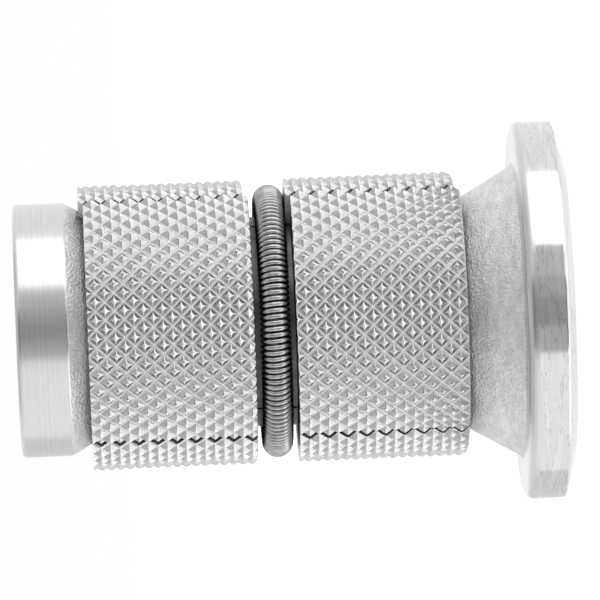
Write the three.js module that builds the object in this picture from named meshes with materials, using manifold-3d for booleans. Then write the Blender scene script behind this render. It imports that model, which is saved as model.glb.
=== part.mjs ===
// Expanding tube plug: two 30 degree cones drawn together by a screw wedge three knurled jaws
// outwards, and a garter spring pulls the jaws back in.
// Millimetres. The plug stands on its flange: its axis is Z, with z = 0 at the flange's outer
// face, and the front jaw faces -Y.

import * as THREE from "three";
import { mergeVertices } from "three/addons/utils/BufferGeometryUtils.js";
import Module from "manifold-3d";

const wasm = await Module();
wasm.setup();

// Driving dimensions. Heights are above the flange's outer face.
const LENGTH = 43.5; // overall
const CONE_SLOPE = Math.tan(THREE.MathUtils.degToRad(30));

const FLANGE_R = 15.0;
const FLANGE_THICK = 3.85;
const FLANGE_BEVEL = { along: 0.67, across: 1.9 }; // shallow bevel round the outer face
const FLANGE_CORNER_R = 0.85; // rounded edge on the seat side

const JAW_FOOT = 8.2; // end of the jaws near the flange
const JAW_TOP = 37.9;
const JAW_R = 11.3;
const JAW_BORE_R = 6.9;
const JAW_EDGE = 0.3; // chamfer on the top end and beside the groove
const JAW_FOOT_R = 0.8; // rounded foot
const SPLIT_GAP = 0.25; // between neighbouring jaws when closed
const RIGHT_JAW_SHIFT = 0.4; // the right-hand jaw has settled this much nearer the nut

const GROOVE_FOOT = 21.6;
const GROOVE_TOP = 24.9;
const GROOVE_FLOOR_R = 8.3;
const SPRING_Z = 23.25;
const SPRING_RING_R = 9.6; // circle through the middle of the coils
const SPRING_COIL_R = 1.2; // outside of the coils

const CONE_R_AT_JAW = 9.1; // cone radius where a jaw's end face meets it
const CONE_DEPTH = 4.4; // how far each cone reaches into the jaws
const SEAT_GAP = 0.3; // radial play between a closed jaw's seat and its cone
const NUT_R = 10.03;
const NUT_CHAMFER = 0.45;

const SCREW_TRAVEL = 3.0; // how far the screw draws the nut towards the flange
const JAW_ALONG = SCREW_TRAVEL / 2; // each jaw's share of that travel
const JAW_OUT = JAW_ALONG * CONE_SLOPE; // and the spread that the cones give it

const SCREW_R = 2.95;
const SCREW_HEAD_R = 5.0;
const SCREW_HEAD_LENGTH = 6.0;
const SCREW_LENGTH = 36.0; // under the head
const SCREW_POINT = 0.6; // chamfer on the end of the thread
const HEX_ACROSS_FLATS = 5.0;
const HEX_DEPTH = 3.2;
const HEAD_RECESS = 0.4; // from the flange's outer face in to the screw head
const WASHER_R = 5.5;
const WASHER_BORE_R = 3.2;
const WASHER_THICK = 1.6;
const COUNTERBORE_R = 5.8;
const HEAD_BORE_R = 3.3; // clearance hole for the screw
const THREAD_BORE_R = 3.05;
const MOUTH_CHAMFER = 0.4; // on the counterbore and on the nut's thread
const CONTACT_GAP = 0.02; // between faces that bear on each other

const PIN_R = 0.75;
const PIN_INNER_R = 4.4;
const PIN_OUTER_R = 9.4;
const PIN_FROM_JAW_END = 2.2; // pin axis, inside each end of the jaws
const PIN_FIT = 0.05;
const KEYWAY_HALF = 0.95;
const KEYWAY_OUTER_R = 9.9;
const KEYWAY_PLAY = 0.5; // left beyond the pin at full travel
const CUT_MARGIN = 1; // how far a cutting shape stands past what it cuts

const ROUND_SEGMENTS = 72;
const SCREW_SEGMENTS = 30;
const PIN_SEGMENTS = 16;
const COIL_SEGMENTS = 12;
const ARC_STEPS = 4; // chords in a rounded edge

// Each jaw's middle faces -Y turned by this angle about Z
const JAWS = [
  { name: "jaw_front", degrees: 0, shift: 0 },
  { name: "jaw_right", degrees: 120, shift: RIGHT_JAW_SHIFT },
  { name: "jaw_left", degrees: -120, shift: 0 },
];

// Materials
function metal(color, roughness) {
  return new THREE.MeshStandardMaterial({ color, roughness, metalness: 0.9 });
}

const turnedAluminium = metal(0xc8cacc, 0.32);
const knurledAluminium = metal(0xb9bbbd, 0.3);
const springSteel = metal(0x6c6e70, 0.25);
const screwSteel = metal(0x8e9092, 0.35);

// Solids

function solidOf(geometry) {
  geometry.deleteAttribute("normal");
  geometry.deleteAttribute("uv");
  const merged = mergeVertices(geometry, 1e-5);
  return new wasm.Manifold(
    new wasm.Mesh({
      numProp: 3,
      vertProperties: new Float32Array(merged.attributes.position.array),
      triVerts: new Uint32Array(merged.index.array),
    }),
  );
}

function meshOf(name, solid, material) {
  const { vertProperties, triVerts } = solid.getMesh();
  const geometry = new THREE.BufferGeometry();
  geometry.setAttribute("position", new THREE.BufferAttribute(vertProperties, 3));
  geometry.setIndex(new THREE.BufferAttribute(triVerts, 1));
  const mesh = new THREE.Mesh(geometry.toNonIndexed(), material);
  mesh.geometry.computeVertexNormals();
  mesh.name = name;
  return mesh;
}

// Revolves [r, z] points about Z. They run upwards along the outside and back down the bore.
function revolved(points, segments = ROUND_SEGMENTS) {
  const profile = points.map(([r, z]) => new THREE.Vector2(r, z));
  profile.push(profile[0].clone());
  const geometry = new THREE.LatheGeometry(profile, segments);
  geometry.rotateX(Math.PI / 2);
  return solidOf(geometry);
}

// Points of a quarter round about [r, z], from angle a0 to a1
function arc([centreR, centreZ], radius, a0, a1) {
  return Array.from({ length: ARC_STEPS + 1 }, (_, i) => {
    const a = a0 + ((a1 - a0) * i) / ARC_STEPS;
    return [centreR + radius * Math.cos(a), centreZ + radius * Math.sin(a)];
  });
}

// A box given by its lowest and highest corners
function block(low, high) {
  const geometry = new THREE.BoxGeometry(...high.map((v, i) => v - low[i]));
  geometry.translate(...high.map((v, i) => (v + low[i]) / 2));
  return solidOf(geometry);
}

// A round bar that stands radially in the rear split, which faces +Y
function radialBar(z, radius, innerR, outerR) {
  const geometry = new THREE.CylinderGeometry(radius, radius, outerR - innerR, PIN_SEGMENTS);
  geometry.translate(0, (outerR + innerR) / 2, z);
  return solidOf(geometry);
}

const HEAD_PIN_Z = JAW_FOOT + PIN_FROM_JAW_END;
const NUT_PIN_Z = JAW_TOP - PIN_FROM_JAW_END;
const pin = (z) => radialBar(z, PIN_R, PIN_INNER_R, PIN_OUTER_R);
const pinHole = (z) => radialBar(z, PIN_R + PIN_FIT, PIN_INNER_R - PIN_FIT, PIN_OUTER_R);

const SCREW_HEAD_TOP = HEAD_RECESS + SCREW_HEAD_LENGTH; // where the head bears on the washer
const WASHER_Z = SCREW_HEAD_TOP + CONTACT_GAP;
const COUNTERBORE_DEPTH = WASHER_Z + WASHER_THICK + CONTACT_GAP;

// Both cones have this radius at a depth inside the jaws, and are wider by the same slope outside
function coneRadius(depth) {
  return CONE_R_AT_JAW - CONE_SLOPE * depth;
}

// Flange and cone, turned in one piece, bored for the screw and its washer
function flangeHead() {
  const tip = JAW_FOOT + CONE_DEPTH;
  const cornerCentre = [FLANGE_R - FLANGE_CORNER_R, FLANGE_THICK - FLANGE_CORNER_R];
  const solid = revolved([
    [COUNTERBORE_R + MOUTH_CHAMFER, 0],
    [FLANGE_R - FLANGE_BEVEL.across, 0],
    [FLANGE_R, FLANGE_BEVEL.along],
    ...arc(cornerCentre, FLANGE_CORNER_R, 0, Math.PI / 2),
    [coneRadius(FLANGE_THICK - JAW_FOOT), FLANGE_THICK],
    [coneRadius(CONE_DEPTH), tip],
    [HEAD_BORE_R, tip],
    [HEAD_BORE_R, COUNTERBORE_DEPTH],
    [COUNTERBORE_R, COUNTERBORE_DEPTH],
    [COUNTERBORE_R, MOUTH_CHAMFER],
  ]);
  return solid.subtract(pinHole(HEAD_PIN_Z));
}

// The far cone, bored right through for the screw's thread
function coneNut() {
  const tip = JAW_TOP - CONE_DEPTH;
  const shoulder = JAW_TOP + (NUT_R - CONE_R_AT_JAW) / CONE_SLOPE;
  const solid = revolved([
    [THREAD_BORE_R + MOUTH_CHAMFER, tip],
    [coneRadius(CONE_DEPTH), tip],
    [NUT_R, shoulder],
    [NUT_R, LENGTH - NUT_CHAMFER],
    [NUT_R - NUT_CHAMFER, LENGTH],
    [THREAD_BORE_R + MOUTH_CHAMFER, LENGTH],
    [THREAD_BORE_R, LENGTH - MOUTH_CHAMFER],
    [THREAD_BORE_R, tip + MOUTH_CHAMFER],
  ]);
  return solid.subtract(pinHole(NUT_PIN_Z));
}

// The full sleeve that the three jaws are cut from
function jawSleeve() {
  const footCentre = [JAW_R - JAW_FOOT_R, JAW_FOOT + JAW_FOOT_R];
  return revolved([
    [JAW_BORE_R, JAW_FOOT],
    ...arc(footCentre, JAW_FOOT_R, -Math.PI / 2, 0),
    [JAW_R, GROOVE_FOOT - JAW_EDGE],
    [JAW_R - JAW_EDGE, GROOVE_FOOT],
    [GROOVE_FLOOR_R, GROOVE_FOOT],
    [GROOVE_FLOOR_R, GROOVE_TOP],
    [JAW_R - JAW_EDGE, GROOVE_TOP],
    [JAW_R, GROOVE_TOP + JAW_EDGE],
    [JAW_R, JAW_TOP - JAW_EDGE],
    [JAW_R - JAW_EDGE, JAW_TOP],
    [JAW_BORE_R, JAW_TOP],
  ]);
}

// One third of the circle about -Y, narrowed by half the split gap on each side
function jawSector() {
  const apex = SPLIT_GAP / 2 / Math.sin(Math.PI / 3);
  const reach = 2 * JAW_R;
  const side = new THREE.Vector2(reach * Math.sin(Math.PI / 3), reach * Math.cos(Math.PI / 3));
  const shape = new THREE.Shape([
    new THREE.Vector2(0, -apex),
    new THREE.Vector2(-side.x, -apex - side.y),
    new THREE.Vector2(0, -apex - reach),
    new THREE.Vector2(side.x, -apex - side.y),
  ]);
  const depth = JAW_TOP - JAW_FOOT + 2 * CUT_MARGIN;
  const geometry = new THREE.ExtrudeGeometry(shape, { depth, bevelEnabled: false });
  geometry.translate(0, 0, JAW_FOOT - CUT_MARGIN);
  return solidOf(geometry);
}

// The space that a cone needs in the jaws, with play: out is -1 for the flange's cone, +1 for the
// nut's
function coneSpace(jawEnd, out) {
  const wideEnd = [coneRadius(-CONE_DEPTH) + SEAT_GAP, jawEnd + out * CONE_DEPTH];
  const tipDepth = CONE_DEPTH + SEAT_GAP;
  const tip = [coneRadius(tipDepth) + SEAT_GAP, jawEnd - out * tipDepth];
  const [low, high] = out < 0 ? [wideEnd, tip] : [tip, wideEnd];
  return revolved([[0, low[1]], low, high, [0, high[1]]]);
}

// Seats for both cones in the jaw at -Y, wide enough for it at rest and fully spread
function seatCuts() {
  const head = coneSpace(JAW_FOOT, -1);
  const nut = coneSpace(JAW_TOP, 1);
  const spreadHead = head.translate([0, JAW_OUT, JAW_ALONG]);
  const spreadNut = nut.translate([0, JAW_OUT, -JAW_ALONG]);
  return head.add(nut).add(spreadHead).add(spreadNut);
}

// Slots across the rear split, which the pins run along
function keyways() {
  const travel = PIN_FROM_JAW_END + JAW_ALONG + KEYWAY_HALF + KEYWAY_PLAY;
  const innerR = JAW_BORE_R - CUT_MARGIN;
  const head = block(
    [-KEYWAY_HALF, innerR, JAW_FOOT - CUT_MARGIN],
    [KEYWAY_HALF, KEYWAY_OUTER_R, JAW_FOOT + travel],
  );
  const nut = block(
    [-KEYWAY_HALF, innerR, JAW_TOP - travel],
    [KEYWAY_HALF, KEYWAY_OUTER_R, JAW_TOP + CUT_MARGIN],
  );
  return head.add(nut);
}

function jaw({ degrees, shift }) {
  return jawSleeve()
    .intersect(jawSector())
    .subtract(seatCuts())
    .rotate([0, 0, degrees])
    .translate([0, 0, shift])
    .subtract(keyways());
}

// The closed coil spring's outer shape, a plain ring
function garterSpring() {
  const ring = Array.from({ length: COIL_SEGMENTS }, (_, i) => {
    const a = (2 * Math.PI * i) / COIL_SEGMENTS;
    return [SPRING_RING_R + SPRING_COIL_R * Math.cos(a), SPRING_Z + SPRING_COIL_R * Math.sin(a)];
  });
  return revolved(ring);
}

// Socket-head screw with its thread as a plain shank
function drawScrew() {
  const end = SCREW_HEAD_TOP + SCREW_LENGTH;
  const body = revolved(
    [
      [0, HEAD_RECESS],
      [SCREW_HEAD_R - MOUTH_CHAMFER, HEAD_RECESS],
      [SCREW_HEAD_R, HEAD_RECESS + MOUTH_CHAMFER],
      [SCREW_HEAD_R, SCREW_HEAD_TOP],
      [SCREW_R, SCREW_HEAD_TOP],
      [SCREW_R, end - SCREW_POINT],
      [SCREW_R - SCREW_POINT, end],
      [0, end],
    ],
    SCREW_SEGMENTS,
  );
  const hexR = HEX_ACROSS_FLATS / 2 / Math.cos(Math.PI / 6);
  const socket = new THREE.CylinderGeometry(hexR, hexR, 2 * HEX_DEPTH, 6);
  socket.rotateX(Math.PI / 2);
  socket.translate(0, 0, HEAD_RECESS);
  return body.subtract(solidOf(socket));
}

function thrustWasher() {
  const top = WASHER_Z + WASHER_THICK;
  return revolved(
    [
      [WASHER_BORE_R, WASHER_Z],
      [WASHER_R, WASHER_Z],
      [WASHER_R, top],
      [WASHER_BORE_R, top],
    ],
    SCREW_SEGMENTS,
  );
}

// Assembly
const plug = new THREE.Group();
plug.add(
  meshOf("flange_head", flangeHead(), turnedAluminium),
  meshOf("cone_nut", coneNut(), turnedAluminium),
  meshOf("garter_spring", garterSpring(), springSteel),
  meshOf("draw_screw", drawScrew(), screwSteel),
  meshOf("thrust_washer", thrustWasher(), screwSteel),
  meshOf("head_key_pin", pin(HEAD_PIN_Z), screwSteel),
  meshOf("nut_key_pin", pin(NUT_PIN_Z), screwSteel),
);
for (const each of JAWS) {
  plug.add(meshOf(each.name, jaw(each), knurledAluminium));
}

export default plug;
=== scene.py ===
import math

import bmesh
import bpy
import numpy as np
from mathutils import Matrix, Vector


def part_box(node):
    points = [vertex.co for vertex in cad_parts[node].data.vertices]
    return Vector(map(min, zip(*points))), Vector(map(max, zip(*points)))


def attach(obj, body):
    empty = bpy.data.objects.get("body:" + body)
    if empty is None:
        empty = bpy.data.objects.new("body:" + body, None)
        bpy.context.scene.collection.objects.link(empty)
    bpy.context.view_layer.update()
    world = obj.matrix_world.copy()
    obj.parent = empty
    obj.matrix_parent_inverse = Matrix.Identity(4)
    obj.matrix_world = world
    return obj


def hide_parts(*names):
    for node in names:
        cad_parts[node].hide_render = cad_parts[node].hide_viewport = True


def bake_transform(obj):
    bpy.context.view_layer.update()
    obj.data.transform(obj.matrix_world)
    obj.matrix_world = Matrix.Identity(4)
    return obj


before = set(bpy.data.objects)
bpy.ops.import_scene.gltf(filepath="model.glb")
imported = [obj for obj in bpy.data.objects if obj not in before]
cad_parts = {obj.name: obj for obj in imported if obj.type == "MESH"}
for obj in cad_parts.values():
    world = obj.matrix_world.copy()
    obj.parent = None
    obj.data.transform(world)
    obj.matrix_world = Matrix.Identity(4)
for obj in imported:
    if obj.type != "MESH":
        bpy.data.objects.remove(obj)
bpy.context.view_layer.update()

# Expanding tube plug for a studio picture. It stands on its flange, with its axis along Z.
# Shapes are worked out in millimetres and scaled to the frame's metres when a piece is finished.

MM = 0.001
CONE_SLOPE = math.tan(math.radians(30))


def node_box(node):
    """Lowest and highest corner of a CAD node, in millimetres."""
    low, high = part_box(node)
    return low / MM, high / MM


head_low, head_high = node_box("flange_head")
nut_low, nut_high = node_box("cone_nut")
jaw_low, jaw_high = node_box("jaw_front")
spring_low, spring_high = node_box("garter_spring")
screw_low, screw_high = node_box("draw_screw")
washer_low, washer_high = node_box("thrust_washer")
JAW_SHIFT = node_box("jaw_right")[0].z - jaw_low.z  # the right-hand jaw sits a little higher

# Jaws
JAW_FOOT = jaw_low.z
JAW_TOP = jaw_high.z
JAW_R = -jaw_low.y  # at the tips of the knurl
JAW_BORE_R = 6.9
JAW_FOOT_ROUND = 0.9
JAW_TOP_ROUND = 0.35
GROOVE_FOOT = 21.6
GROOVE_TOP = 24.9
GROOVE_FLOOR_R = 8.3
GROOVE_FOOT_ROUND = 0.3
GROOVE_TOP_ROUND = 0.65
GROOVE_CORNER = 0.1
GROOVE_SHADE_DEPTH = 1.2  # painted shade darkens the groove's walls from here down
SPLIT_GAP = 0.25
CONE_R_AT_JAW = 9.1
CONE_DEPTH = JAW_TOP - nut_low.z
SEAT_GAP = 0.3
SPREAD = (0.866, 1.5)  # how far a jaw moves outwards and towards the flange at full travel

# Flange head and cone nut
FLANGE_THICK = 3.85
FLANGE_ROUND = 0.85  # where the rim meets the inner face
BEVEL_ACROSS = 1.9
BEVEL_ALONG = 0.67
BEVEL_ROUND = 0.22
MOUTH_R = 6.2  # chamfered mouth of the recess for the screw's head
MOUTH_DEPTH = 0.4
RECESS_R = 5.8
WASHER_CLEARANCE = 0.02
SCREW_CLEARANCE_R = 3.3
CONE_FOOT_ROUND = 0.12
NUT_END_ROUND = 0.42
SOFT_EDGE = 0.15
FINE_EDGE = 0.1  # an edge with the burr taken off

# Key pins, which stand in the rear split
PIN_FROM_JAW_END = 2.2
PIN_R = 0.75
PIN_EDGE = 0.12
PIN_REACH = (4.4, 9.4)
PIN_HOLE_R = 0.8
PIN_HOLE_REACH = (4.35, 9.6)
PIN_SLOT_HALF_WIDTH = 0.95
PIN_SLOT_REACH = (5.9, 9.9)
PIN_SLOT_DEPTH = 5.15

# Knurl: diamonds round the plug, each a little pyramid between four V grooves
DIAMONDS_ROUND = 48
DIAMOND_HEIGHT = 1.49
KNURL_DEPTH = 0.49
KNURL_TIP = (-5.05, 34.99)  # angle in degrees and height of one tip on the front jaw
KNURL_TWIST = 0.05  # degrees per millimetre
GROOVE_FRACTION = 0.025  # flat bottom of a groove, as a share of a diamond
FACET_CURVE = 1.45  # 1 would be a flat-sided pyramid
RIDGE = 0.09  # half width of a pyramid's rounded ridge near its tip, as a share of a diamond
RINGS = (0.05, 0.13, 0.24, 0.35, 0.442, 0.475, 0.5)  # squares round a tip, out to the grooves
GROOVE_BANDS = 2  # outermost bands between rings, duller and lighter like the tips: a painted highlight

# Spring
COILS = 138
WIRE_R = 0.19
COIL_R = 1.03  # to the middle of the wire
SPRING_SECTION_R = 1.2  # of the plain ring in CAD
RING_R = spring_high.x - SPRING_SECTION_R
SPRING_Z = (spring_low.z + spring_high.z) / 2

# Draw screw, its thread and its washer
SCREW_R = 2.95
SCREW_HEAD_R = 5.0
SCREW_HEAD_LENGTH = 6.0
SCREW_HEAD_ROUND = 0.35
SCREW_POINT = 0.6
THREAD_LENGTH = 18.0
THREAD_LEAD = 0.3  # from the plain shank down to the first root
THREAD_PITCH = 1.0
THREAD_DEPTH = 0.55
NUT_THREAD_DEPTH = 0.35
NUT_THREAD_START = 0.4  # below the nut's end face
NUT_BORE_R = 3.05
HEX_R = 2.5 / math.cos(math.radians(30))
HEX_DEPTH = 3.2
HEX_POINT = 0.8  # drill point under the socket
WASHER_BORE_R = 3.2
WASHER_R = 5.5

ROUND_STEPS = 288  # round a large turned piece
SEAT_STEPS = 144
SMALL_STEPS = 96
PIN_STEPS = 32
ARC_STEPS = 6  # in a rounded corner


# Materials


class Shader:
    """A Principled material with short ways to add procedural detail, sized in millimetres."""

    NOISE_RANGE = (0.3, 0.7)  # where most noise lies
    LINE_SHARPNESS = 22.0
    RADIUS_WEIGHT = 1.37  # along a profile, a step outwards counts as this many steps up

    def __init__(self, name, color, roughness, metallic=1.0, anisotropic=0.0):
        self.material = bpy.data.materials.new(name)
        self.material.use_nodes = True
        self.nodes = self.material.node_tree.nodes
        self.links = self.material.node_tree.links
        self.bsdf = self.nodes["Principled BSDF"]
        self.bsdf.inputs["Base Color"].default_value = (*color, 1)
        self.bsdf.inputs["Roughness"].default_value = roughness
        self.bsdf.inputs["Metallic"].default_value = metallic
        self.bsdf.inputs["Anisotropic"].default_value = anisotropic
        self.color = color
        self.normal = None

    def scaled(self, x, y, z):
        """Object coordinates in millimetres, stretched by x, y and z."""
        coordinates = self.nodes.new("ShaderNodeTexCoord")
        mapping = self.nodes.new("ShaderNodeMapping")
        mapping.inputs["Scale"].default_value = (x / MM, y / MM, z / MM)
        self.links.new(coordinates.outputs["Object"], mapping.inputs["Vector"])
        return mapping.outputs["Vector"]

    def along_profile(self, lines_per_mm):
        """A coordinate that is the same all the way round the axis and changes along any turned face."""
        coordinates = self.nodes.new("ShaderNodeTexCoord")
        parts = self.nodes.new("ShaderNodeSeparateXYZ")
        self.links.new(coordinates.outputs["Object"], parts.inputs[0])
        radius = self.math("SQRT", self.math("ADD", self.square(parts, "X"), self.square(parts, "Y")))
        place = self.math("ADD", self.math("MULTIPLY", radius, self.RADIUS_WEIGHT), parts.outputs["Z"])
        joined = self.nodes.new("ShaderNodeCombineXYZ")
        self.links.new(self.math("MULTIPLY", place, lines_per_mm / MM), joined.inputs["Z"])
        return joined.outputs[0]

    def square(self, parts, axis):
        return self.math("MULTIPLY", parts.outputs[axis], parts.outputs[axis])

    def math(self, operation, *values):
        node = self.nodes.new("ShaderNodeMath")
        node.operation = operation
        for socket, value in zip(node.inputs, values):
            if isinstance(value, (int, float)):
                socket.default_value = value
            else:
                self.links.new(value, socket)
        return node.outputs[0]

    def noise(self, vector, detail=2.0):
        node = self.nodes.new("ShaderNodeTexNoise")
        node.inputs["Scale"].default_value = 1.0
        node.inputs["Detail"].default_value = detail
        self.links.new(vector, node.inputs["Vector"])
        return node.outputs[0]

    def spread(self, value, low, high):
        """Noise stretched so that most of it runs from low to high, and the rest is held there."""
        node = self.nodes.new("ShaderNodeMapRange")
        node.inputs["From Min"].default_value = self.NOISE_RANGE[0]
        node.inputs["From Max"].default_value = self.NOISE_RANGE[1]
        node.inputs["To Min"].default_value = low
        node.inputs["To Max"].default_value = high
        self.links.new(value, node.inputs["Value"])
        return node.outputs[0]

    def bump(self, height, depth_mm):
        node = self.nodes.new("ShaderNodeBump")
        node.inputs["Strength"].default_value = 1.0
        node.inputs["Distance"].default_value = depth_mm * MM
        self.links.new(height, node.inputs["Height"])
        if self.normal:
            self.links.new(self.normal, node.inputs["Normal"])
        self.normal = node.outputs[0]
        self.links.new(self.normal, self.bsdf.inputs["Normal"])

    def tint(self, factor):
        """The base colour, made darker or lighter by a factor that varies over the surface."""
        node = self.nodes.new("ShaderNodeVectorMath")
        node.operation = "SCALE"
        node.inputs[0].default_value = self.color
        self.links.new(factor, node.inputs["Scale"])
        self.links.new(node.outputs[0], self.bsdf.inputs["Base Color"])

    def scratches(self, noise, darkest):
        """A factor: 1 nearly everywhere, darkest on thin lines where the noise crosses its middle value."""
        away = self.math("ABSOLUTE", self.math("SUBTRACT", noise, sum(self.NOISE_RANGE) / 2))
        steep = self.math("MULTIPLY", away, self.LINE_SHARPNESS)
        return self.spread(self.math("ADD", steep, self.NOISE_RANGE[0]), darkest, 1.0)

    def brush_round_axis(self):
        """Grooves run round the axis, so a highlight is drawn out across them."""
        tangent = self.nodes.new("ShaderNodeTangent")
        tangent.direction_type = "RADIAL"
        tangent.axis = "Z"
        self.links.new(tangent.outputs[0], self.bsdf.inputs["Tangent"])
        self.bsdf.inputs["Anisotropic Rotation"].default_value = 0.25


def turned_aluminium():
    shader = Shader("turned_aluminium", (0.80, 0.805, 0.81), 0.27, anisotropic=0.5)
    shader.brush_round_axis()
    rings = shader.noise(shader.along_profile(5.0), 5.0)
    shader.bump(rings, 0.004)
    streaks = shader.noise(shader.scaled(0.5, 0.5, 6.0))
    shader.tint(shader.math("MULTIPLY", shader.spread(rings, 0.9, 1.0), shader.spread(streaks, 0.95, 1.0)))
    return shader.material


def rim_aluminium():
    shader = Shader("rim_aluminium", (0.82, 0.825, 0.83), 0.13, anisotropic=0.4)
    shader.brush_round_axis()
    shader.bump(shader.noise(shader.along_profile(9.0), 3.0), 0.0016)
    streaks = shader.noise(shader.scaled(0.22, 0.22, 2.2), 4.0)
    shader.bump(streaks, 0.01)
    shader.tint(shader.math("MULTIPLY", shader.spread(streaks, 0.88, 1.0), shader.scratches(streaks, 0.72)))
    return shader.material


def speckled_aluminium():
    shader = Shader("speckled_aluminium", (0.97, 0.97, 0.97), 0.38, metallic=0.75)
    grain = shader.noise(shader.scaled(5.0, 5.0, 5.0), 2.0)
    shader.bump(grain, 0.09)
    clouds = shader.spread(shader.noise(shader.scaled(0.8, 0.8, 2.2), 5.0), 0.78, 1.0)
    shader.tint(shader.math("MULTIPLY", clouds, shader.spread(grain, 0.86, 1.06)))
    return shader.material


def knurled_aluminium():
    shader = Shader("knurled_aluminium", (0.76, 0.76, 0.76), 0.18)
    grain = shader.noise(shader.scaled(3.0, 3.0, 3.0), 3.0)
    shader.bump(grain, 0.014)
    shader.tint(shader.spread(grain, 0.82, 1.0))
    return shader.material


def pressed_highlight_aluminium():
    """The knurl's groove bottoms and tips, pressed by the wheel: duller than the facets, and lighter as a
    painted highlight.
    """
    shader = Shader("pressed_highlight_aluminium", (0.98, 0.98, 0.98), 0.45, metallic=0.25)
    shader.tint(shader.spread(shader.noise(shader.scaled(3.0, 3.0, 3.0)), 0.85, 1.0))
    return shader.material


def groove_shade_aluminium():
    """The jaws' groove, painted dark as painted shade in the recess under the spring."""
    shader = Shader("groove_shade_aluminium", (0.22, 0.22, 0.22), 0.4)
    shader.tint(shader.spread(shader.noise(shader.scaled(1.0, 1.0, 1.0)), 0.6, 1.0))
    return shader.material


def cut_aluminium():
    shader = Shader("cut_aluminium", (0.70, 0.705, 0.71), 0.34)
    shader.bump(shader.noise(shader.along_profile(10.0), 3.0), 0.002)
    return shader.material


def spring_steel():
    shader = Shader("spring_steel", (0.60, 0.60, 0.60), 0.22)
    shader.tint(shader.spread(shader.noise(shader.scaled(1.2, 1.2, 1.2)), 0.7, 1.0))
    return shader.material


def screw_steel():
    shader = Shader("screw_steel", (0.42, 0.42, 0.43), 0.32)
    shader.tint(shader.spread(shader.noise(shader.scaled(1.5, 1.5, 1.5)), 0.85, 1.0))
    return shader.material


TURNED = turned_aluminium()
RIM = rim_aluminium()
SPECKLED = speckled_aluminium()
KNURLED = knurled_aluminium()
PRESSED_HIGHLIGHT = pressed_highlight_aluminium()
CUT = cut_aluminium()
GROOVE_SHADE = groove_shade_aluminium()
SPRING = spring_steel()
STEEL = screw_steel()


# Meshes


def make_object(name, vertices, faces, materials, slots=None):
    """A mesh object in millimetres. slots gives each face's material."""
    mesh = bpy.data.meshes.new(name)
    mesh.from_pydata(vertices, [], faces)
    for material in materials:
        mesh.materials.append(material)
    if slots is not None:
        mesh.polygons.foreach_set("material_index", np.asarray(slots, dtype=np.int32))
    mesh.update()
    obj = bpy.data.objects.new(name, mesh)
    bpy.context.scene.collection.objects.link(obj)
    return obj


def merge_points(obj):
    """Joins points that coincide, such as those of a ring on the axis."""
    work = bmesh.new()
    work.from_mesh(obj.data)
    bmesh.ops.remove_doubles(work, verts=work.verts, dist=1e-5)
    work.to_mesh(obj.data)
    work.free()


def rounded(corners):
    """Corners (r, z, setback, slot) as points (r, z, slot), each corner rounded from its setback."""
    points = []
    for i, (r, z, setback, slot) in enumerate(corners):
        if not setback:
            points.append((r, z, slot))
            continue
        here = np.array((r, z))
        before = np.array(corners[i - 1][:2]) - here
        after = np.array(corners[(i + 1) % len(corners)][:2]) - here
        start = here + before * setback / np.linalg.norm(before)
        end = here + after * setback / np.linalg.norm(after)
        for step in range(ARC_STEPS + 1):
            w = step / ARC_STEPS
            place = (1 - w) ** 2 * start + 2 * w * (1 - w) * here + w * w * end
            points.append((place[0], place[1], slot))
    return points


def lathe(name, corners, materials, steps=ROUND_STEPS):
    """Revolves corners about Z. They run upwards along the outside and back down the bore."""
    points = rounded(corners)
    turns = np.arange(steps) * 2 * math.pi / steps
    r = np.array([p[0] for p in points])[:, None]
    z = np.array([p[1] for p in points])[:, None]
    x, y = r * np.cos(turns), r * np.sin(turns)
    vertices = np.stack([x, y, np.broadcast_to(z, x.shape)], axis=-1).reshape(-1, 3)
    faces, slots = [], []
    for i in range(len(points)):
        above = (i + 1) % len(points)
        for j in range(steps):
            k = (j + 1) % steps
            faces.append((i * steps + j, i * steps + k, above * steps + k, above * steps + j))
            slots.append(points[i][2])
    obj = make_object(name, vertices.tolist(), faces, materials, slots)
    merge_points(obj)
    return obj


def boolean(obj, tool, operation):
    """Cuts obj by tool, or keeps what they share, and deletes the tool."""
    modifier = obj.modifiers.new("cut", "BOOLEAN")
    modifier.solver = "MANIFOLD"
    modifier.operation = operation
    modifier.material_mode = "TRANSFER"
    modifier.object = tool
    mesh = bpy.data.meshes.new_from_object(obj.evaluated_get(bpy.context.evaluated_depsgraph_get()))
    obj.modifiers.clear()
    obj.data = mesh
    bpy.data.objects.remove(tool)


def block(name, low, high):
    """A box between two corners, as a cutting tool."""
    vertices = [(x, y, z) for z in (low[2], high[2]) for y in (low[1], high[1]) for x in (low[0], high[0])]
    faces = [(0, 2, 3, 1), (4, 5, 7, 6), (0, 1, 5, 4), (2, 6, 7, 3), (0, 4, 6, 2), (1, 3, 7, 5)]
    return make_object(name, vertices, faces, [CUT])


def finish_piece(obj, body, slot, *replaced, sharp=35):
    """Scales a piece to metres, shades it, puts it under its body and hides the CAD nodes that it replaces.
    slot is not used.
    """
    obj.data.transform(Matrix.Scale(MM, 4))
    obj.data.shade_smooth()
    obj.data.set_sharp_from_angle(angle=math.radians(sharp))
    if body:
        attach(obj, body)
    if replaced:
        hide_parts(*replaced)


# Flange head and cone nut


def cone_radius(depth):
    """Radius of either cone at a depth inside the jaws."""
    return CONE_R_AT_JAW - CONE_SLOPE * depth


def pin_hole(obj, z):
    """The radial hole that a key pin sits in."""
    boolean(obj, radial_bar("hole", z, PIN_HOLE_R, PIN_HOLE_REACH, [CUT]), "DIFFERENCE")


def radial_bar(name, z, radius, reach, materials, setback=0.0):
    """A round bar that stands out along +Y, through the rear split."""
    inner, outer = reach
    corners = [(0, inner, 0, 0), (radius, inner, setback, 0), (radius, outer, setback, 0), (0, outer, 0, 0)]
    bar = lathe(name, corners, materials, PIN_STEPS)
    turn = Matrix.Translation((0, 0, z)) @ Matrix.Rotation(-math.pi / 2, 4, "X")
    bar.data.transform(turn)
    return bar


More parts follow.
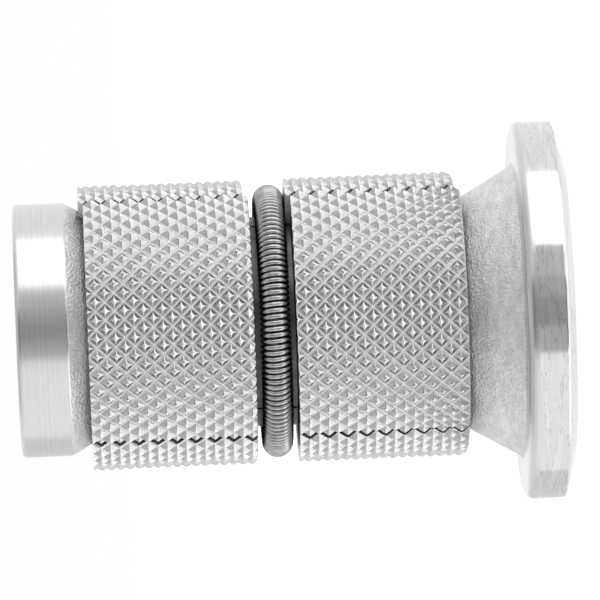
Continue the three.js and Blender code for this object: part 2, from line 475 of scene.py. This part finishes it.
def make_flange_head():
    flange_r, tip = head_high.x, head_high.z
    floor = washer_high.z + WASHER_CLEARANCE
    flat, rim, cone, bore = 0, 1, 2, 3
    corners = [
        (MOUTH_R, 0, 0, flat),
        (flange_r - BEVEL_ACROSS, 0, SOFT_EDGE, rim),
        (flange_r, BEVEL_ALONG, BEVEL_ROUND, rim),
        (flange_r, FLANGE_THICK, FLANGE_ROUND, flat),
        (cone_radius(FLANGE_THICK - JAW_FOOT), FLANGE_THICK, CONE_FOOT_ROUND, cone),
        (cone_radius(CONE_DEPTH), tip, SOFT_EDGE, bore),
        (SCREW_CLEARANCE_R, tip, 0, bore),
        (SCREW_CLEARANCE_R, floor, 0, bore),
        (RECESS_R, floor, 0, bore),
        (RECESS_R, MOUTH_DEPTH, 0, bore),
    ]
    head = lathe("flange_head_turned", corners, [TURNED, RIM, SPECKLED, CUT])
    pin_hole(head, JAW_FOOT + PIN_FROM_JAW_END)
    finish_piece(head, "head", "turned_aluminium", "flange_head")


def make_cone_nut():
    nut_r, top, tip = nut_high.x, nut_high.z, nut_low.z
    shoulder = JAW_TOP + (nut_r - CONE_R_AT_JAW) / CONE_SLOPE
    skin, cone, bore = 0, 1, 2
    crest, root = NUT_BORE_R, NUT_BORE_R + NUT_THREAD_DEPTH
    corners = [
        (root, tip, 0, skin),
        (cone_radius(CONE_DEPTH), tip, SOFT_EDGE, cone),
        (nut_r, shoulder, FINE_EDGE, skin),
        (nut_r, top, NUT_END_ROUND, skin),
        (root, top, FINE_EDGE / 2, bore),
    ]
    z = top - NUT_THREAD_START
    while z > tip + THREAD_PITCH:
        corners.append((crest, z, FINE_EDGE, bore))
        corners.append((root, z - THREAD_PITCH / 2, FINE_EDGE, bore))
        z -= THREAD_PITCH
    nut = lathe("cone_nut_turned", corners, [TURNED, SPECKLED, CUT])
    pin_hole(nut, JAW_TOP - PIN_FROM_JAW_END)
    finish_piece(nut, "nut", "turned_aluminium", "cone_nut")


# Jaws


def knurl_height(p, q):
    """Height of the knurl from 0 in the grooves to 1 at a tip. p and q are whole at the tips."""
    reach = 0.5 - np.maximum(np.abs(p - np.round(p)), np.abs(q - np.round(q)))
    rise = np.clip((reach - GROOVE_FRACTION) / (0.5 - GROOVE_FRACTION), 0, 1)
    return 1 - (1 - rise) ** FACET_CURVE


def square_ring(size):
    """Points of a square round a tip: corners, which lie on ridges, and a point on each side of them."""
    half_width = RIDGE * (1 - 2 * (size - RINGS[0]))
    inset = size - min(half_width, size / 2)
    side = [(size, -size), (size, -inset), (size, inset)]
    ring = []
    for _ in range(4):
        ring += side
        side = [(-b, a) for a, b in side]
    return ring


def knurled_log():
    """A closed sector that spans the front jaw with room to spare, knurled on its outside."""
    half_width, margin, inner_r = 64.0, 1.0, 5.0
    pitch = 360 / DIAMONDS_ROUND
    tip_angle, tip_z = KNURL_TIP
    low = (JAW_FOOT - margin - tip_z) / DIAMOND_HEIGHT
    high = (JAW_TOP + margin - tip_z) / DIAMOND_HEIGHT
    reach = round(half_width / pitch)
    diamonds = [
        ((u + v) // 2, (u - v) // 2)
        for v in range(round(2 * low), round(2 * high) + 1)
        for u in range(-2 * reach, 2 * reach + 1)
        if (u + v) % 2 == 0
    ]
    place = {}
    points = []

    def point(p, q):
        key = (round(p * 1000), round(q * 1000))
        if key not in place:
            place[key] = len(points)
            points.append((p, q))
        return place[key]

    rings = [square_ring(ring) for ring in RINGS]
    around = len(rings[0])
    triangles, slots = [], []
    for i, j in diamonds:
        tip = point(i, j)
        marks = [[point(i + a, j + b) for a, b in ring] for ring in rings]
        # the tip and the outer bands take the duller, lighter material: a painted highlight
        for k in range(around):
            triangles.append((tip, marks[0][k], marks[0][(k + 1) % around]))
            slots.append(1)
        for band, (inside, outside) in enumerate(zip(marks, marks[1:])):
            for k in range(around):
                after = (k + 1) % around
                triangles.append((inside[k], outside[k], outside[after]))
                triangles.append((inside[k], outside[after], inside[after]))
                slots += [int(band >= len(RINGS) - 1 - GROOVE_BANDS)] * 2
    p, q = np.array(points).T
    u, v = (p + q) / 2, (p - q) / 2
    z = tip_z + v * DIAMOND_HEIGHT
    angle = np.radians(tip_angle + u * pitch + (tip_z - z) * KNURL_TWIST)
    outer = JAW_R - KNURL_DEPTH * (1 - knurl_height(p, q))
    vertices = [
        np.stack([r * np.sin(angle), -r * np.cos(angle), z], axis=-1)
        for r in (outer, np.full_like(outer, inner_r))
    ]
    count = len(points)
    edges = dict.fromkeys(edge for a, b, c in triangles for edge in ((a, b), (b, c), (c, a)))
    faces = list(triangles)
    faces += [(c + count, b + count, a + count) for a, b, c in triangles]
    for a, b in edges:
        if (b, a) not in edges:  # on the rim, where a wall closes the log
            faces.append((b, a, a + count))
            faces.append((b, a + count, b + count))
    slots += [0] * (len(faces) - len(triangles))
    log = make_object("log", np.concatenate(vertices).tolist(), faces, [KNURLED, PRESSED_HIGHLIGHT], slots)
    work = bmesh.new()
    work.from_mesh(log.data)
    bmesh.ops.recalc_face_normals(work, faces=work.faces)
    work.to_mesh(log.data)
    work.free()
    return log


def jaw_sector():
    """One third of the circle round -Y, less half the split on each side."""
    apex = SPLIT_GAP / 2 / math.sin(math.pi / 3)
    reach = 2 * JAW_R
    x, y = reach * math.sin(math.pi / 3), reach * math.cos(math.pi / 3)
    outline = [(0, -apex), (-x, -apex - y), (0, -apex - reach), (x, -apex - y)]
    low, high = JAW_FOOT - 1, JAW_TOP + 1
    vertices = [(*corner, z) for z in (low, high) for corner in outline]
    faces = [(3, 2, 1, 0), (4, 5, 6, 7)]
    faces += [(i, (i + 1) % 4, (i + 1) % 4 + 4, i + 4) for i in range(4)]
    return make_object("sector", vertices, faces, [CUT])


def cone_seat(jaw_end, out, spread):
    """The space of one cone in the front jaw, at rest or at full travel."""
    wide = (cone_radius(-CONE_DEPTH) + SEAT_GAP, jaw_end + out * CONE_DEPTH)
    depth = CONE_DEPTH + SEAT_GAP
    tip = (cone_radius(depth) + SEAT_GAP, jaw_end - out * depth)
    low, high = (wide, tip) if out < 0 else (tip, wide)
    corners = [(0, low[1], 0, 0), (*low, 0, 0), (*high, 0, 0), (0, high[1], 0, 0)]
    seat = lathe("seat", corners, [CUT], SEAT_STEPS)
    if spread:
        seat.data.transform(Matrix.Translation((0, SPREAD[0], -out * SPREAD[1])))
    return seat


def make_jaws():
    """Shapes the front jaw, then turns copies of it round for the other two."""
    skin_r = JAW_R + 0.05  # just outside the knurl's tips, so that the knurl shapes all of the outside
    shade_r = JAW_R - GROOVE_SHADE_DEPTH
    top, foot = JAW_TOP, JAW_FOOT
    cut, shade_wall = 0, 1
    corners = [
        (JAW_BORE_R, foot, 0, cut),
        (skin_r, foot, JAW_FOOT_ROUND, cut),
        (skin_r, GROOVE_FOOT, GROOVE_FOOT_ROUND, cut),
        # painted shade: the groove's walls and floor take the dark material
        (shade_r, GROOVE_FOOT, 0, shade_wall),
        (GROOVE_FLOOR_R, GROOVE_FOOT, GROOVE_CORNER, shade_wall),
        (GROOVE_FLOOR_R, GROOVE_TOP, GROOVE_CORNER, shade_wall),
        (shade_r, GROOVE_TOP, 0, cut),
        (skin_r, GROOVE_TOP, GROOVE_TOP_ROUND, cut),
        (skin_r, top, JAW_TOP_ROUND, cut),
        (JAW_BORE_R, top, 0, cut),
    ]
    jaw = lathe("jaw_front_knurled", corners, [CUT, GROOVE_SHADE])
    boolean(jaw, jaw_sector(), "INTERSECT")
    for jaw_end, out in ((foot, -1), (top, 1)):
        for spread in (False, True):
            boolean(jaw, cone_seat(jaw_end, out, spread), "DIFFERENCE")
    boolean(jaw, knurled_log(), "INTERSECT")

    inner, outer = PIN_SLOT_REACH
    others = {}
    for side, degrees, shift in (("right", 120, JAW_SHIFT), ("left", -120, 0)):
        copy = jaw.copy()
        copy.data = jaw.data.copy()
        copy.name = f"jaw_{side}_knurled"
        bpy.context.scene.collection.objects.link(copy)
        turn = Matrix.Rotation(math.radians(degrees), 4, "Z")
        copy.data.transform(Matrix.Translation((0, 0, shift)) @ turn)
        for low, high in ((foot - 1, foot + PIN_SLOT_DEPTH), (top - PIN_SLOT_DEPTH, top + 1)):
            near = (-PIN_SLOT_HALF_WIDTH, inner, low)
            far = (PIN_SLOT_HALF_WIDTH, outer, high)
            boolean(copy, block("slot", near, far), "DIFFERENCE")
        others[side] = copy
    for side, piece in {"front": jaw, **others}.items():
        shade_jaw(piece)
        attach(piece, side)
        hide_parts(f"jaw_{side}")


def shade_jaw(obj):
    """Scales a jaw to metres and shades it smooth over the knurl, with sharp edges round it."""
    obj.data.transform(Matrix.Scale(MM, 4))
    work = bmesh.new()
    work.from_mesh(obj.data)
    knurled = {i for i, m in enumerate(obj.data.materials) if m.name in (KNURLED.name, PRESSED_HIGHLIGHT.name)}
    for face in work.faces:
        face.smooth = True
    for edge in work.edges:
        kinds = {face.material_index in knurled for face in edge.link_faces}
        angle = math.degrees(edge.calc_face_angle_signed(0))
        edge.smooth = len(kinds) == 1 and (-90 < angle < 75 if True in kinds else abs(angle) < 35)
    work.to_mesh(obj.data)
    work.free()


# Garter spring


def make_spring():
    """Six arcs of coils, which together make the ring."""
    steps_per_coil, sides = 24, 8
    arc = 60
    coils = COILS * arc // 360
    centres = {0: "front", 120: "right", 240: "left", 360: "front"}
    for k in range(6):
        start, end = k * arc, (k + 1) * arc
        t = np.linspace(math.radians(start), math.radians(end), coils * steps_per_coil + 1)
        turn = COILS * t
        outward = np.stack([np.sin(t), -np.cos(t), np.zeros_like(t)], axis=-1)
        up = np.array([0, 0, 1.0])
        normal = outward * np.cos(turn)[:, None] - up * np.sin(turn)[:, None]
        middle = outward * RING_R + normal * COIL_R + up * SPRING_Z
        forward = np.gradient(middle, axis=0)
        forward /= np.linalg.norm(forward, axis=1)[:, None]
        side = np.cross(forward, normal)
        rings = [
            middle + WIRE_R * (normal * math.cos(a) + side * math.sin(a))
            for a in np.arange(sides) * 2 * math.pi / sides
        ]
        vertices = np.stack(rings, axis=1).reshape(-1, 3)
        faces = []
        for here in range(0, (len(t) - 1) * sides, sides):
            ahead = here + sides
            for j in range(sides):
                after = (j + 1) % sides
                faces.append((here + j, here + after, ahead + after, ahead + j))
        faces.append(tuple(reversed(range(sides))))
        last = (len(t) - 1) * sides
        faces.append(tuple(range(last, last + sides)))
        piece = make_object(f"garter_spring_arc_{k + 1}", vertices.tolist(), faces, [SPRING])
        finish_piece(piece, None, "spring_steel", sharp=60)
        if start in centres:
            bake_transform(piece)
        else:
            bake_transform(piece)
        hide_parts("garter_spring")


# Draw screw, washer and pins


def make_screw():
    low, end = screw_low.z, screw_high.z
    under = low + SCREW_HEAD_LENGTH
    corners = [
        (0, low, 0, 0),
        (SCREW_HEAD_R, low, SCREW_HEAD_ROUND, 0),
        (SCREW_HEAD_R, under, FINE_EDGE, 0),
        (SCREW_R, under, SOFT_EDGE, 0),
    ]
    start = end - THREAD_LENGTH
    corners.append((SCREW_R, start - THREAD_LEAD, FINE_EDGE / 2, 0))
    for ridge in range(round(THREAD_LENGTH / THREAD_PITCH)):
        z = start + ridge * THREAD_PITCH
        corners.append((SCREW_R - THREAD_DEPTH, z, FINE_EDGE, 0))
        corners.append((SCREW_R, z + THREAD_PITCH / 2, FINE_EDGE, 0))
    corners += [(SCREW_R - SCREW_POINT, end, FINE_EDGE, 0), (0, end, 0, 0)]
    screw = lathe("draw_screw_socket", corners, [STEEL], SMALL_STEPS)
    bottom = low + HEX_DEPTH
    socket = [(0, -1, 0, 0), (HEX_R, -1, 0, 0), (HEX_R, bottom, 0, 0), (0, bottom + HEX_POINT, 0, 0)]
    boolean(screw, lathe("socket", socket, [STEEL], 6), "DIFFERENCE")
    finish_piece(screw, "screw", "screw_steel", "draw_screw")


def make_washer_and_pins():
    low, high = washer_low.z, washer_high.z
    corners = [
        (WASHER_BORE_R, low, FINE_EDGE, 0),
        (WASHER_R, low, SOFT_EDGE, 0),
        (WASHER_R, high, SOFT_EDGE, 0),
        (WASHER_BORE_R, high, FINE_EDGE, 0),
    ]
    washer = lathe("thrust_washer_ground", corners, [STEEL], SMALL_STEPS)
    finish_piece(washer, "head", "screw_steel", "thrust_washer")
    for body, z in (("head", JAW_FOOT + PIN_FROM_JAW_END), ("nut", JAW_TOP - PIN_FROM_JAW_END)):
        pin = radial_bar(f"{body}_key_pin_ground", z, PIN_R, PIN_REACH, [STEEL], PIN_EDGE)
        finish_piece(pin, body, "screw_steel", f"{body}_key_pin")


make_flange_head()
make_cone_nut()
make_jaws()
make_spring()
make_screw()
make_washer_and_pins()


# Studio: a pale floor inside a tent of soft panels. The metal mirrors the tent all round, above
# and below, and not the floor.


def glowing(name, level, brightness=0.0):
    """A matt material of that brightness that also gives off its own light."""
    shader = Shader(name, (brightness, brightness, brightness), 1.0, metallic=0.0)
    shader.bsdf.inputs["Specular IOR Level"].default_value = 0.0
    shader.bsdf.inputs["Emission Color"].default_value = (1, 1, 1, 1)
    shader.bsdf.inputs["Emission Strength"].default_value = level
    return shader.material


def panel(name, start, end, low, high, level):
    """An upright curved panel. Angles are in degrees round Z from the camera, heights in metres."""
    steps = max(2, round((end - start) / 4))
    angles = np.radians(np.linspace(start, end, steps + 1) + AZIMUTH)
    vertices = [(TENT_R * math.sin(a), -TENT_R * math.cos(a), z) for z in (low, high) for a in angles]
    faces = [(i, i + 1, i + steps + 2, i + steps + 1) for i in range(steps)]
    obj = make_object(name, vertices, faces, [glowing(name, level)])
    obj.visible_camera = False


def disc(name, radius, z, material):
    steps = 64
    vertices = [
        (radius * math.cos(2 * math.pi * i / steps), radius * math.sin(2 * math.pi * i / steps), z)
        for i in range(steps)
    ]
    obj = make_object(name, vertices, [tuple(range(steps))], [material])
    return obj


AZIMUTH = -4.55  # of the camera, in degrees from -Y towards +X
TENT_R = 1.5
TENT_TOP = 1.6
BELT = 0.45  # the tent's middle belt reaches this far above and below the floor
LOW_LIGHT = 0.9  # a second light shines from below this depth
KEY = (40, 92, 1.75)  # the main light
BELT_PANELS = (
    (-26, -10, 0.48),
    (-10, 8, 0.34),
    (8, 20, 0.45),
    (20, 40, 0.56),
    KEY,
    (92, 166, 0.95),
    (166, 194, 1.1),
    (194, 245, 0.75),
    (245, 334, 1.0),
)
TIERS = (
    (-TENT_TOP, -LOW_LIGHT, ((-26, 20, 0.25), (20, 40, 1.0), KEY, (92, 262, 1.0), (262, 334, 2.0))),
    (-LOW_LIGHT, -BELT, ((-26, 20, 0.25), (20, 40, 1.0), KEY, (92, 334, 1.0))),
    (-BELT, BELT, BELT_PANELS),
    (BELT, TENT_TOP, ((-26, 20, 0.2), (20, 92, 0.75), (92, 262, 0.9), (262, 334, 0.8))),
)
for low, high, panels in TIERS:
    for start, end, level in panels:
        panel(f"panel_{start}_{round(low, 1)}", start, end, low, high, level)
for name, z, level in (("tent_top", TENT_TOP, 0.6), ("tent_bottom", -TENT_TOP, 1.25)):
    disc(name, TENT_R, z, glowing(name, level)).visible_camera = False
disc("floor", 30.0, 0.0, glowing("floor", 0.7, 0.75)).visible_glossy = False

world = bpy.data.worlds.new("studio")
bpy.context.scene.world = world
world.use_nodes = True
world.node_tree.nodes["Background"].inputs["Color"].default_value = (1, 1, 1, 1)
world.node_tree.nodes["Background"].inputs["Strength"].default_value = 1.0
bpy.context.scene.view_settings.view_transform = "Standard"

# Camera: level with the plug, turned on its side so that the axis runs across the picture
ELEVATION = math.radians(1.54)
ROLL = math.radians(90 + 2.39)
DISTANCE = 0.554
AIM_Z = 0.02107
AIM_RISE = 0.001564  # the plug sits this much below the middle of the picture

camera_data = bpy.data.cameras.new("camera")
camera_data.sensor_width = 36
camera_data.lens = 419
camera = bpy.data.objects.new("camera", camera_data)
bpy.context.scene.collection.objects.link(camera)
camera.matrix_world = (
    Matrix.Translation((0, 0, AIM_Z))
    @ Matrix.Rotation(math.radians(AZIMUTH), 4, "Z")
    @ Matrix.Rotation(math.pi / 2 - ELEVATION, 4, "X")
    @ Matrix.Rotation(-ROLL, 4, "Z")
    @ Matrix.Translation((0, AIM_RISE, DISTANCE))
)
bpy.context.scene.camera = camera
